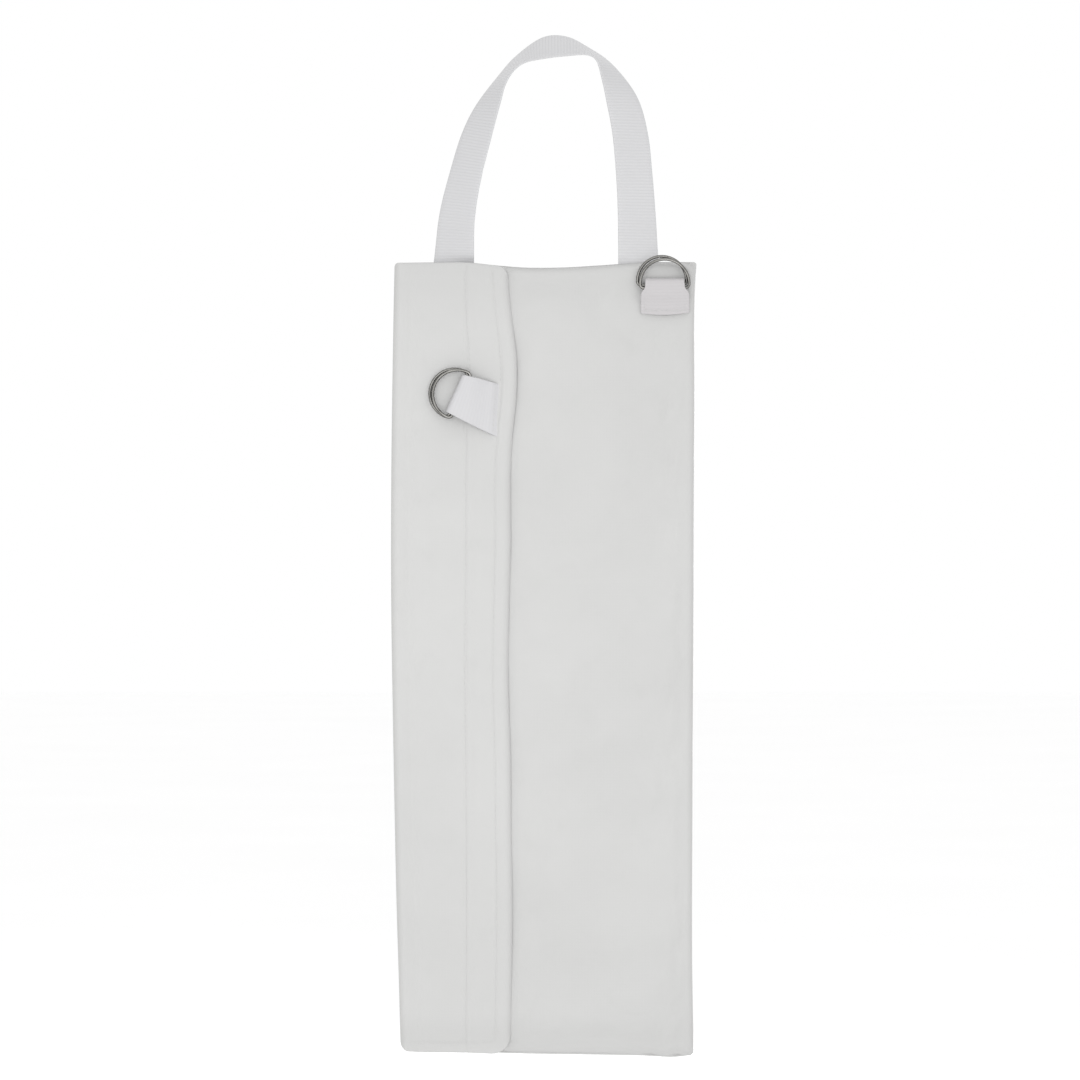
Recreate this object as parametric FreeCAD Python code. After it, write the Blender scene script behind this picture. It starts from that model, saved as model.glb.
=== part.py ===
import FreeCAD, Part
import math
import os
from FreeCAD import Vector

# A fire blanket folded in a soft pouch that hangs from a hook by its webbing handle.
# Millimetres. X runs to the right of the front, Y to the back and Z up.
# The origin is where the hook carries the handle, under the middle of its crown.

os.makedirs("parts", exist_ok=True)

# pouch
POUCH_WIDTH = 185.0
POUCH_HEIGHT = 489.0
POUCH_DEPTH = 22.0
CLOTH = 0.8
TOP = -131.8
BOTTOM = TOP - POUCH_HEIGHT
LEFT = -POUCH_WIDTH / 2
RIGHT = POUCH_WIDTH / 2
FRONT = -POUCH_DEPTH / 2
BACK = POUCH_DEPTH / 2
MOUTH_X = LEFT + 11.0
FOLD_GAP = 0.1

# flap
FLAP_EDGE_X = -20.5
FLAP_TOP = TOP - 3.0
FLAP_BOTTOM = BOTTOM + 1.0
FLAP_CORNER = 7.5
TAPE_LEFT = -49.0
TAPE_RIGHT = -29.0
TAPE_TOP = TOP - 12.0
TAPE_BOTTOM = BOTTOM + 9.0
LOOP_PILE = 1.1
HOOK_PILE = 1.2
PILE_GAP = 0.1
FLAP_BACK = FRONT - LOOP_PILE - PILE_GAP - HOOK_PILE
FLAP_FRONT = FLAP_BACK - CLOTH

# webbing
WEB_WIDTH = 25.0
WEB = 1.3
LEG_LEFT_X = -55.5
LEG_RIGHT_X = 58.7
HANDLE_GAP = 1.0
FOOT_BACK = 9.5
SLOT_PLAY = 0.1
# edges of the handle's band from the left leg to the right one: inner x, inner height, outer x, outer height
HANDLE_EDGES = [
    (-42.5, 27.0, -64.8, 30.0),
    (-38.5, 52.0, -58.5, 56.0),
    (-32.0, 78.0, -50.0, 83.0),
    (-27.0, 97.0, -39.0, 100.0),
    (-22.0, 112.0, -28.0, 116.0),
    (-14.0, 121.5, -17.0, 128.5),
    (0.0, 125.5, 0.0, 139.5),
    (15.0, 127.2, 15.0, 140.0),
    (27.0, 127.6, 28.0, 133.0),
    (32.5, 124.5, 38.0, 126.5),
    (35.8, 114.0, 49.0, 114.0),
    (38.8, 100.0, 58.5, 100.5),
    (42.5, 80.0, 64.5, 80.0),
    (44.8, 55.0, 67.6, 56.0),
    (46.0, 28.0, 69.8, 28.0),
]

# D-rings
WIRE = 1.8
RING_RADIUS = 15.1
RING_SIDE = 2.6
RING_CORNER = 2.5
RING_PLAY = 0.15
RING_STEP = 2.0

# folded tabs that hold the rings: corners run fold low, fold high, root high, root low
TAB_WEB = 1.2
TAB_CHANNEL = 4.1
TAB_ROUND = 2.0
TAB_REACH = 40.0
CORNER_FOLD = (74.4, TOP - 10.5)
CORNER_TILT = 0.0
CORNER_TAB = [(62.9, -10.3), (85.9, -10.3), (90.2, -31.6), (59.8, -31.6)]
CORNER_CHANNEL_END = 9.6
CORNER_RING_BACK = (73.0, -14.6, -0.5)
CORNER_RING_FRONT = (74.6, -16.5, -0.5)
PULL_FOLD = (-55.2, TOP - 81.35)
PULL_TILT = -65.0
PULL_TAB = [(-61.0, -92.6), (-50.6, -70.0), (-27.5, -76.0), (-27.5, -106.0)]
PULL_CHANNEL_END = 7.0
PULL_RING_BACK = (-52.55, -82.7, -65.0)
PULL_RING_FRONT = (-50.7, -83.35, -65.0)
PULL_LIFT = 0.3
PULL_BEND_X = -31.5
PULL_BEND_GAP = 0.2

# thread
THREAD = 0.6
THREAD_HEIGHT = 0.25
SEAM_INSET = 4.0
EDGE_ROW_X = -30.1
TAPE_ROW_X = -48.0
ROW_BOTTOM = TOP - 481.7
ROW_TURN = 4.3
ROW_TOP = TOP - 9.0
PULL_ROW_TOP = TOP - 75.0
PULL_ROW_BOTTOM = TOP - 107.0

# blanket, 1.2 m x 1.8 m of glass cloth folded in seven across and in four along
BLANKET_WIDTH = 171.0
BLANKET_HEIGHT = 460.0
BLANKET_DEPTH = 18.6
BLANKET_LEFT = -86.0
GRIP_WIDTH = 25.0
GRIP_DEPTH = 14.0
GRIP = 1.2
GRIP_UPPER_Z = TOP - 130.0
GRIP_LOWER_Z = TOP - 390.0


def box(x0, x1, y0, y1, z0, z1):
    return Part.makeBox(x1 - x0, y1 - y0, z1 - z0, Vector(x0, y0, z0))


def prism(points, y0, y1):
    """A solid with that outline of (x, z) points, from y0 to y1."""
    corners = [Vector(x, y0, z) for x, z in points]
    face = Part.Face(Part.makePolygon(corners + corners[:1]))
    return face.extrude(Vector(0, y1 - y0, 0))


def save(name, shape):
    shape.exportStep("parts/" + name + ".step")


def back_panel():
    return box(LEFT, RIGHT, BACK - CLOTH, BACK, BOTTOM, TOP)


def front_panel():
    return box(MOUTH_X, RIGHT, FRONT, FRONT + CLOTH, BOTTOM, TOP)


def right_wall():
    return box(RIGHT - CLOTH, RIGHT, FRONT + CLOTH, BACK - CLOTH, BOTTOM, TOP)


def end_wall(z0):
    """The sheet that closes the pouch's top or bottom, from the flap's spine to the right wall."""
    left = LEFT + CLOTH + FOLD_GAP
    return box(left, RIGHT - CLOTH, FRONT + CLOTH, BACK - CLOTH, z0, z0 + CLOTH)


def top_wall():
    wall = end_wall(TOP - CLOTH)
    half_slot = WEB / 2 + SLOT_PLAY
    half_width = WEB_WIDTH / 2 + SLOT_PLAY
    for x in (LEG_LEFT_X, LEG_RIGHT_X):
        slot = box(x - half_width, x + half_width, -half_slot, half_slot, TOP - 2 * CLOTH, TOP + CLOTH)
        wall = wall.cut(slot)
    return wall


def flap_spine():
    front = FLAP_BACK + FOLD_GAP
    return box(LEFT, LEFT + CLOTH, front, BACK - CLOTH - FOLD_GAP, FLAP_BOTTOM, FLAP_TOP)


def flap_panel():
    panel = box(LEFT, FLAP_EDGE_X, FLAP_FRONT, FLAP_BACK, FLAP_BOTTOM, FLAP_TOP)
    edges = []
    for edge in panel.Edges:
        ends = [v.Point for v in edge.Vertexes]
        if all(abs(p.x - FLAP_EDGE_X) < CLOTH for p in ends) and abs(ends[0].y - ends[1].y) > CLOTH / 2:
            edges.append(edge)
    return panel.makeFillet(FLAP_CORNER, edges)


def tape(y0, y1):
    return box(TAPE_LEFT, TAPE_RIGHT, y0, y1, TAPE_BOTTOM, TAPE_TOP)


def loop_tape():
    return tape(FRONT - LOOP_PILE, FRONT)


def hook_tape():
    return tape(FLAP_BACK, FLAP_BACK + HOOK_PILE)


def handle_stations():
    """The inner and outer edge of the handle's band, as pairs of points from one end to the other."""
    base = TOP + HANDLE_GAP
    half = WEB_WIDTH / 2
    stations = [(Vector(LEG_LEFT_X + half, 0, base), Vector(LEG_LEFT_X - half, 0, base))]
    for inner_x, inner_z, outer_x, outer_z in HANDLE_EDGES:
        seen = math.hypot(outer_x - inner_x, outer_z - inner_z)
        turned = math.sqrt(WEB_WIDTH**2 - seen**2) / 2
        inner = Vector(inner_x, -turned, TOP + inner_z)
        stations.append((inner, Vector(outer_x, turned, TOP + outer_z)))
    stations.append((Vector(LEG_RIGHT_X - half, 0, base), Vector(LEG_RIGHT_X + half, 0, base)))
    return stations


def handle_webbing():
    stations = handle_stations()
    middles = [(a + b) * 0.5 for a, b in stations]
    sections = []
    for i, (inner, outer) in enumerate(stations):
        if i in (0, len(stations) - 1):
            along = Vector(0, 0, 1 if i == 0 else -1)
        else:
            along = middles[i + 1] - middles[i - 1]
        off = along.cross(outer - inner).normalize() * (WEB / 2)
        corners = [inner - off, outer - off, outer + off, inner + off]
        sections.append(Part.makePolygon(corners + corners[:1]))
    return Part.makeLoft(sections, True, True)


def handle_end(x):
    """The end of one handle leg: down through the top wall, turned to the back and sewn under it."""
    half = WEB_WIDTH / 2
    low = TOP - CLOTH - WEB
    neck = box(x - half, x + half, -WEB / 2, WEB / 2, low, TOP)
    foot = box(x - half, x + half, WEB / 2, FOOT_BACK, low, TOP - CLOTH)
    return neck.fuse(foot).removeSplitter()


def handle_ends():
    return Part.makeCompound([handle_end(LEG_LEFT_X), handle_end(LEG_RIGHT_X)])


def thread_frame(x0, x1, y0, y1, z0, z1):
    """A rectangle of thread lying on a level face."""
    outer = box(x0, x1, y0, y1, z0, z1)
    inner = box(x0 + THREAD, x1 - THREAD, y0 + THREAD, y1 - THREAD, z0 - CLOTH, z1 + CLOTH)
    return outer.cut(inner)


def handle_stitching():
    half = WEB_WIDTH / 2 - 2
    frames = []
    for x in (LEG_LEFT_X, LEG_RIGHT_X):
        frames.append(thread_frame(x - half, x + half, 2.0, FOOT_BACK - 1, TOP, TOP + THREAD_HEIGHT))
    return Part.makeCompound(frames)


def upright_thread(x, z0, z1, face):
    half = THREAD / 2
    return box(x - half, x + half, face - THREAD_HEIGHT, face, z0, z1)


def level_thread(z, x0, x1, face):
    half = THREAD / 2
    return box(x0, x1, face - THREAD_HEIGHT, face, z - half, z + half)


def seam_stitching():
    """One row of thread along the pouch's top seam and one along its bottom seam."""
    x0 = MOUTH_X + 2
    x1 = RIGHT - 2
    top = level_thread(TOP - SEAM_INSET, x0, x1, FRONT)
    bottom = level_thread(BOTTOM + SEAM_INSET, x0, x1, FRONT)
    return Part.makeCompound([top, bottom])


def quarter_thread(x, z, radius, face):
    """A quarter turn of thread, from the right of its centre to below it."""
    outer = Part.makeCylinder(radius + THREAD / 2, THREAD_HEIGHT, Vector(x, face, z), Vector(0, -1, 0))
    inner = Part.makeCylinder(radius - THREAD / 2, THREAD_HEIGHT, Vector(x, face, z), Vector(0, -1, 0))
    reach = radius + THREAD
    corner = box(x, x + reach, face - THREAD_HEIGHT, face, z - reach, z)
    return outer.cut(inner).common(corner)


def flap_edge_stitching():
    """The row inside the flap's free edge, broken by the pull tab and turning along the bottom."""
    face = FLAP_FRONT
    turn_x = EDGE_ROW_X - ROW_TURN
    turn_z = ROW_BOTTOM + ROW_TURN
    upper = upright_thread(EDGE_ROW_X, PULL_ROW_TOP, ROW_TOP, face)
    lower = upright_thread(EDGE_ROW_X, turn_z, PULL_ROW_BOTTOM, face)
    turn = quarter_thread(turn_x, turn_z, ROW_TURN, face)
    level = level_thread(ROW_BOTTOM, LEFT + 4, turn_x, face)
    return Part.makeCompound([upper, lower.fuse([turn, level]).removeSplitter()])


def tape_stitching():
    return upright_thread(TAPE_ROW_X, ROW_BOTTOM + 1, ROW_TOP, FLAP_FRONT)


def d_ring(x, depth, z, tilt):
    """A D-ring of round wire with the middle of its straight bar at the point, its bow up, then tilted."""
    flat = RING_RADIUS - RING_CORNER
    near = RING_CORNER * (1 - math.sqrt(0.5))
    top = RING_SIDE + RING_RADIUS
    outline = [
        Part.LineSegment(Vector(0, 0, 0), Vector(flat, 0, 0)),
        Part.Arc(
            Vector(flat, 0, 0),
            Vector(RING_RADIUS - near, 0, near),
            Vector(RING_RADIUS, 0, RING_CORNER),
        ),
        Part.LineSegment(Vector(RING_RADIUS, 0, RING_CORNER), Vector(RING_RADIUS, 0, RING_SIDE)),
        Part.Arc(
            Vector(RING_RADIUS, 0, RING_SIDE),
            Vector(0, 0, top),
            Vector(-RING_RADIUS, 0, RING_SIDE),
        ),
        Part.LineSegment(Vector(-RING_RADIUS, 0, RING_SIDE), Vector(-RING_RADIUS, 0, RING_CORNER)),
        Part.Arc(
            Vector(-RING_RADIUS, 0, RING_CORNER),
            Vector(near - RING_RADIUS, 0, near),
            Vector(-flat, 0, 0),
        ),
        Part.LineSegment(Vector(-flat, 0, 0), Vector(0, 0, 0)),
    ]
    path = Part.Wire([piece.toShape() for piece in outline])
    section = Part.Wire(Part.makeCircle(WIRE / 2, Vector(0, 0, 0), Vector(1, 0, 0)))
    ring = path.makePipeShell([section], True, True)
    ring.rotate(Vector(0, 0, 0), Vector(0, 1, 0), tilt)
    ring.translate(Vector(x, depth, z))
    return ring


def ring_depth(face, place):
    """How far forward a ring's bar lies in its tab's fold: place 0 is next to the cloth."""
    return face - TAB_WEB - RING_PLAY - WIRE / 2 - place * RING_STEP


def placed_ring(spec, face, place):
    x, drop, tilt = spec
    return d_ring(x, ring_depth(face, place), TOP + drop, tilt)


def folded_tab(fold, tilt, corners, channel_end, face):
    """A strap folded round the ring bars, its two layers meeting behind them, cut to its flared outline."""
    high = 2 * TAB_WEB + TAB_CHANNEL
    closes = channel_end + TAB_CHANNEL
    outer = [
        (TAB_ROUND, 0),
        (TAB_REACH, 0),
        (TAB_REACH, 2 * TAB_WEB),
        (closes, 2 * TAB_WEB),
        (channel_end, high),
        (TAB_ROUND, high),
        (0, high - TAB_ROUND),
        (0, TAB_ROUND),
    ]
    inner = [
        (TAB_WEB, TAB_WEB),
        (closes - TAB_WEB, TAB_WEB),
        (channel_end - TAB_WEB / 2, TAB_WEB + TAB_CHANNEL),
        (TAB_WEB, TAB_WEB + TAB_CHANNEL),
    ]
    faces = []
    for points in (outer, inner):
        ring = [Vector(-TAB_REACH, -h, -s) for s, h in points]
        faces.append(Part.Face(Part.makePolygon(ring + ring[:1])))
    band = faces[0].cut(faces[1]).extrude(Vector(2 * TAB_REACH, 0, 0))
    band.rotate(Vector(0, 0, 0), Vector(0, 1, 0), tilt)
    band.translate(Vector(fold[0], face, fold[1]))
    outline = [(x, TOP + z) for x, z in corners]
    return band.common(prism(outline, face - high - 1, face + 1)).Solids[0]


def corner_tab():
    return folded_tab(CORNER_FOLD, CORNER_TILT, CORNER_TAB, CORNER_CHANNEL_END, FRONT)


def corner_tab_stitching():
    """A box of thread through the sewn foot of the corner tab."""
    face = FRONT - 2 * TAB_WEB
    low = TOP - 30.0
    high = TOP - 25.5
    left = 62.0
    right = 88.0
    half = THREAD / 2
    rows = [level_thread(low, left, right, face), level_thread(high, left, right, face)]
    sides = [upright_thread(x, low + half, high - half, face) for x in (left + half, right - half)]
    return rows[0].fuse([rows[1]] + sides).removeSplitter()


def whole_pull_tab():
    return folded_tab(PULL_FOLD, PULL_TILT, PULL_TAB, PULL_CHANNEL_END, FLAP_FRONT - PULL_LIFT)


def pull_tab():
    """The free part of the pull tab, left of the line where it bends up from the flap."""
    end = PULL_BEND_X - PULL_BEND_GAP
    keep = box(end - 2 * TAB_REACH, end, FLAP_FRONT - TAB_REACH, FLAP_FRONT, TOP - 120, TOP - 60)
    return whole_pull_tab().common(keep).Solids[0]


def pull_tab_end():
    """The sewn end of the pull tab, on the flap just inside its free edge."""
    low = FLAP_FRONT - PULL_LIFT - 2 * TAB_WEB
    return prism(
        [(PULL_BEND_X, TOP - 104.4), (PULL_BEND_X, TOP - 75.2), (-27.5, TOP - 76.0), (-27.5, TOP - 106.0)],
        low,
        FLAP_FRONT,
    )


def pull_tab_stitching():
    """Two close rows of thread across the pull tab's sewn end."""
    face = FLAP_FRONT - PULL_LIFT - 2 * TAB_WEB
    rows = [upright_thread(x, TOP - 104.0, TOP - 77.0, face) for x in (PULL_BEND_X + 1, EDGE_ROW_X + 1.4)]
    return Part.makeCompound(rows)


def fire_blanket():
    low = BOTTOM + CLOTH
    half = BLANKET_DEPTH / 2
    return box(BLANKET_LEFT, BLANKET_LEFT + BLANKET_WIDTH, -half, half, low, low + BLANKET_HEIGHT)


def grip_tape(z):
    """A tape sewn to the blanket's edge, lying flat on the folds that face the pouch's mouth."""
    half = GRIP_WIDTH / 2
    return box(BLANKET_LEFT - GRIP, BLANKET_LEFT, -GRIP_DEPTH / 2, GRIP_DEPTH / 2, z - half, z + half)


save("back_panel", back_panel())
save("front_panel", front_panel())
save("right_wall", right_wall())
save("top_wall", top_wall())
save("bottom_wall", end_wall(BOTTOM))
save("flap_spine", flap_spine())
save("flap_panel", flap_panel())
save("loop_tape", loop_tape())
save("hook_tape", hook_tape())
save("handle_webbing", handle_webbing())
save("handle_ends", handle_ends())
save("handle_stitching", handle_stitching())
save("seam_stitching", seam_stitching())
save("flap_edge_stitching", flap_edge_stitching())
save("tape_stitching", tape_stitching())
save("corner_tab", corner_tab())
save("corner_tab_stitching", corner_tab_stitching())
save("corner_ring_back", placed_ring(CORNER_RING_BACK, FRONT, 0))
save("corner_ring_front", placed_ring(CORNER_RING_FRONT, FRONT, 1))
save("pull_tab", pull_tab())
save("pull_tab_end", pull_tab_end())
save("pull_tab_stitching", pull_tab_stitching())
save("pull_ring_back", placed_ring(PULL_RING_BACK, FLAP_FRONT - PULL_LIFT, 0))
save("pull_ring_front", placed_ring(PULL_RING_FRONT, FLAP_FRONT - PULL_LIFT, 1))
save("fire_blanket", fire_blanket())
save("blanket_grip_tape_upper", grip_tape(GRIP_UPPER_Z))
save("blanket_grip_tape_lower", grip_tape(GRIP_LOWER_Z))
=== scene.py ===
import math

import bmesh
import bpy
import numpy as np
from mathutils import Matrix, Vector


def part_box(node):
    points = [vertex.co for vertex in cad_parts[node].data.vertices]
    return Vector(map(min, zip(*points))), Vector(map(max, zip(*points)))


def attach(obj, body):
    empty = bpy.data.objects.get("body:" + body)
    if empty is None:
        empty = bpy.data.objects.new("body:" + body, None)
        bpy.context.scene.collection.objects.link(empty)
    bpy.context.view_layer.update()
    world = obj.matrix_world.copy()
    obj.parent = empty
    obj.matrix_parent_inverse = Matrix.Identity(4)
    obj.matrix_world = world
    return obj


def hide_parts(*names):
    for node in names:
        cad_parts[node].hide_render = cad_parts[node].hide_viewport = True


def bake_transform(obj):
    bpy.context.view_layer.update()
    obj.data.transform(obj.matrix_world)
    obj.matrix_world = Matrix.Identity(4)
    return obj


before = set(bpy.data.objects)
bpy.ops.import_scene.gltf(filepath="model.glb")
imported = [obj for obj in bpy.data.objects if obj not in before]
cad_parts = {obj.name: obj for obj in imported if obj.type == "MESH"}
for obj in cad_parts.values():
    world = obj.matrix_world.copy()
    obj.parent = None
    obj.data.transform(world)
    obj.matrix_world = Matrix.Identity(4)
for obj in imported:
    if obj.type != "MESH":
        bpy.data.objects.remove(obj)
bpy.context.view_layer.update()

MM = 0.001

# ---------------------------------------------------------------- places, from the CAD frame
back_low, back_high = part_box("back_panel")
LEFT, RIGHT = back_low.x, back_high.x
BOTTOM, TOP = back_low.z, back_high.z
BACK = back_high.y
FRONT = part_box("front_panel")[0].y
FLAP_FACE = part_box("flap_panel")[0].y
FLAP_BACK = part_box("flap_panel")[1].y
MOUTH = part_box("front_panel")[0].x
FLAP_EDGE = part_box("flap_panel")[1].x
CLOTH = FLAP_BACK - FLAP_FACE
HEIGHT = TOP - BOTTOM


def smooth(points, at):
    """The value at `at` of a smooth line through (position, value) pairs."""
    x, y = np.array(sorted(points), float).T
    at = np.clip(at, x[0], x[-1])
    m = np.gradient(y, x)
    i = np.clip(np.searchsorted(x, at, side="right") - 1, 0, len(x) - 2)
    h = x[i + 1] - x[i]
    t = (at - x[i]) / h
    a, b = 2 * t**3 - 3 * t**2 + 1, t**3 - 2 * t**2 + t
    return a * y[i] + b * h * m[i] + (1 - a) * y[i + 1] + (t**3 - t**2) * h * m[i + 1]


def ease(t):
    t = np.clip(t, 0, 1)
    return t * t * (3 - 2 * t)


def hump(x, at, width):
    return np.exp(-(((x - at) / width) ** 2))


def ripple(a, b, seed, longest, shortest, count=14):
    """A gentle unevenness over (a, b), about -1 to 1, the same each run."""
    rng = np.random.RandomState(seed)
    out = np.zeros(np.broadcast(a, b).shape)
    total = 0
    for _ in range(count):
        length = math.exp(rng.uniform(math.log(shortest), math.log(longest)))
        turn = rng.uniform(0, 2 * math.pi)
        weight = length / longest
        out += weight * np.sin(
            2 * math.pi * (a * math.cos(turn) + b * math.sin(turn)) / length + rng.uniform(0, 2 * math.pi)
        )
        total += weight**2
    return out / math.sqrt(total)


# Outline of the soft pouch, in mm, as differences from the CAD panels. The first number of a pair is a place,
# x for the top and bottom edges and height above the top edge for the two sides and the flap's free edge.
# The second is how far the top or bottom edge drops, or how far a side or the free edge stands to the right.
TOP_DROP = [
    (-93, 0.6), (-66, 0.2), (-46, 0.3), (-30, 1.9), (-15, 3.1),
    (8, 3.2), (34, 1.8), (46, 0.9), (60, 0), (94, -0.2),
]
BOTTOM_DROP = [(-93, -1.9), (-82, -1.4), (-50, -0.9), (-20, 0.2), (20, 0.9), (60, 1.6), (82, 2.3), (94, 0.9)]
LEFT_SIDE = [
    (0, 0.6), (-40, -0.2), (-209, -1.5), (-280, -0.5), (-330, 0.4), (-400, 1.9), (-440, 3.1), (-489, 4.4),
]
RIGHT_SIDE = [(0, 2.2), (-10, 1.5), (-85, 0.8), (-240, 0.1), (-333, -0.4), (-430, -0.6), (-489, 0.3)]
EDGE_SIDE = [
    (0, -1.6), (-11, -1.2), (-35, 1.0), (-61, 3.9), (-85, 3.5), (-104, 1.6), (-125, 0.4), (-178, 0.2),
    (-209, -0.6), (-258, -1.2), (-308, 0.2), (-350, 0.6), (-395, 1.3), (-445, 0.7), (-489, 0.1),
]

# radii of the pouch's four corners
TOP_LEFT_CORNER = 2.5 * MM
TOP_RIGHT_CORNER = 2 * MM
LOW_LEFT_CORNER = 6 * MM
LOW_RIGHT_CORNER = 2.6 * MM


def corner_cut(x, side, radius):
    """How far a rounded corner of that radius takes an edge back, beside the pouch's left or right side."""
    over = np.clip((radius - np.abs(x - side)) / radius, 0, 1)
    return radius * (1 - np.sqrt(1 - over**2))


def top_at(x):
    edge = TOP - smooth(TOP_DROP, x / MM) * MM
    return edge - corner_cut(x, LEFT, TOP_LEFT_CORNER) - corner_cut(x, RIGHT, TOP_RIGHT_CORNER)


def bottom_line(x):
    return BOTTOM - smooth(BOTTOM_DROP, x / MM) * MM


def bottom_at(x):
    return bottom_line(x) + corner_cut(x, LEFT, LOW_LEFT_CORNER) + corner_cut(x, RIGHT, LOW_RIGHT_CORNER)


def left_shift(z):
    return smooth(LEFT_SIDE, (z - TOP) / MM) * MM


def right_shift(z):
    return smooth(RIGHT_SIDE, (z - TOP) / MM) * MM


def edge_shift(z):
    return smooth(EDGE_SIDE, (z - TOP) / MM) * MM


# ---------------------------------------------------------------- meshes
def new_mesh(name, verts, faces, uv=None):
    mesh = bpy.data.meshes.new(name)
    mesh.from_pydata([tuple(v) for v in verts], [], faces)
    mesh.update()
    if uv is not None:
        layer = mesh.uv_layers.new(name="UVMap")
        loops = np.zeros(len(mesh.loops), np.int32)
        mesh.loops.foreach_get("vertex_index", loops)
        layer.data.foreach_set("uv", np.asarray(uv, np.float32)[loops].ravel())
    mesh.polygons.foreach_set("use_smooth", [True] * len(mesh.polygons))
    obj = bpy.data.objects.new(name, mesh)
    bpy.context.scene.collection.objects.link(obj)
    return obj


def grid(name, points, uv=None, round_u=False, round_v=False):
    """A mesh over a grid of points[u, v, 3], closed on itself where asked. UV is in metres by default."""
    n, m = points.shape[:2]
    faces = []
    for i in range(n if round_u else n - 1):
        for j in range(m if round_v else m - 1):
            a, b = (i + 1) % n, (j + 1) % m
            faces.append((i * m + j, a * m + j, a * m + b, i * m + b))
    if uv is None:
        steps = np.linalg.norm(np.diff(points, axis=0), axis=2).mean(1)
        rises = np.linalg.norm(np.diff(points, axis=1), axis=2).mean(0)
        u = np.concatenate([[0], np.cumsum(steps)])
        v = np.concatenate([[0], np.cumsum(rises)])
        uv = np.stack(np.meshgrid(u, v, indexing="ij"), -1)
    return new_mesh(name, points.reshape(-1, 3), faces, uv.reshape(-1, 2))


def apply_modifiers(obj):
    bpy.context.view_layer.update()
    deps = bpy.context.evaluated_depsgraph_get()
    mesh = bpy.data.meshes.new_from_object(obj.evaluated_get(deps))
    obj.modifiers.clear()
    obj.data = mesh
    return obj


def thicken(obj, thickness):
    """Give a sheet its thickness, inwards."""
    m = obj.modifiers.new("cloth", "SOLIDIFY")
    m.thickness = thickness
    m.offset = -1
    m.use_even_offset = False
    m.use_rim = True
    return apply_modifiers(obj)


ROUNDING = 3  # points on a strap's rounded edge


def band(name, edge_a, edge_b, thickness, bow=None):
    """A strap with those two edges, as a closed mesh. UV runs along it in metres, and across it from 0 to 1.

    bow gives, for each station, how far the middle lies beyond the straight line between the edges.
    """
    a, b = np.asarray(edge_a, float), np.asarray(edge_b, float)
    middle = (a + b) / 2
    along = np.gradient(middle, axis=0)
    normal = np.cross(along, b - a)
    normal /= np.linalg.norm(normal, axis=1)[:, None]
    half = np.broadcast_to(np.asarray(thickness, float) / 2, (len(a),))
    across = np.linspace(0, 1, 9)
    width = np.linalg.norm(b - a, axis=1).mean()
    bow = np.zeros((len(a), 3)) if bow is None else np.asarray(bow, float)
    run = np.concatenate([[0], np.cumsum(np.linalg.norm(np.diff(middle, axis=0), axis=1))])
    points, uv = [], []
    inset = half.max() / width
    section = []
    for t in across:
        section.append((inset + t * (1 - 2 * inset), 1.0))
    for k in range(1, ROUNDING + 1):
        angle = math.pi * k / (ROUNDING + 1)
        section.append((1 - inset + inset * math.sin(angle), math.cos(angle)))
    for t in across[::-1]:
        section.append((inset + t * (1 - 2 * inset), -1.0))
    for k in range(1, ROUNDING + 1):
        angle = math.pi * k / (ROUNDING + 1)
        section.append((inset - inset * math.sin(angle), -math.cos(angle)))
    for i in range(len(a)):
        row, row_uv = [], []
        for t, side in section:
            row.append(a[i] + (b[i] - a[i]) * t + normal[i] * side * half[i] + bow[i] * 4 * t * (1 - t))
            row_uv.append((run[i], t))
        points.append(row)
        uv.append(row_uv)
    points, uv = np.array(points), np.array(uv)
    m = len(section)
    obj = grid(name, points, uv, round_v=True)
    # close the two ends
    mesh = obj.data
    bm = bmesh.new()
    bm.from_mesh(mesh)
    bm.verts.ensure_lookup_table()
    for start in (0, (len(a) - 1) * m):
        bm.faces.new([bm.verts[start + k] for k in range(m)])
    bmesh.ops.recalc_face_normals(bm, faces=bm.faces)
    bm.to_mesh(mesh)
    bm.free()
    return obj


def stitches(name, points, normals, length, pitch, width, height):
    """A row of thread stitches lying along a line, each a small rounded grain."""
    points, normals = np.asarray(points, float), np.asarray(normals, float)
    run = np.concatenate([[0], np.cumsum(np.linalg.norm(np.diff(points, axis=0), axis=1))])
    verts, faces = [], []
    count = max(1, int(run[-1] / pitch))
    sides, stations = 6, 5
    for k in range(count):
        centre = (k + 0.5) * run[-1] / count
        base = len(verts)
        for i in range(stations):
            f = i / (stations - 1) * 2 - 1
            s = centre + f * length / 2
            p = np.array([np.interp(s, run, points[:, c]) for c in range(3)])
            n = np.array([np.interp(s, run, normals[:, c]) for c in range(3)])
            n /= np.linalg.norm(n)
            q = np.array([np.interp(s + 1e-5, run, points[:, c]) for c in range(3)])
            r = np.array([np.interp(s - 1e-5, run, points[:, c]) for c in range(3)])
            t = q - r
            t /= max(np.linalg.norm(t), 1e-12)
            w = np.cross(n, t)
            swell = max(0.12, math.sqrt(max(0.0, 1 - abs(f) ** 2.6)))
            for j in range(sides):
                angle = 2 * math.pi * j / sides
                verts.append(
                    p
                    + w * math.cos(angle) * width / 2 * swell
                    + n * (math.sin(angle) * height * swell - height * 0.7 * (1 - swell))
                )
        for i in range(stations - 1):
            for j in range(sides):
                a, b = base + i * sides + j, base + i * sides + (j + 1) % sides
                faces.append((a, b, b + sides, a + sides))
        faces.append(tuple(base + j for j in range(sides)))
        faces.append(tuple(base + (stations - 1) * sides + j for j in reversed(range(sides))))
    return new_mesh(name, verts, faces)


def joined(name, objs):
    """One mesh object in place of several."""
    verts, faces = [], []
    for o in objs:
        base = len(verts)
        verts += [tuple(o.matrix_world @ v.co) for v in o.data.vertices]
        faces += [tuple(base + i for i in p.vertices) for p in o.data.polygons]
        bpy.data.objects.remove(o)
    return new_mesh(name, verts, faces)


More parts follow.
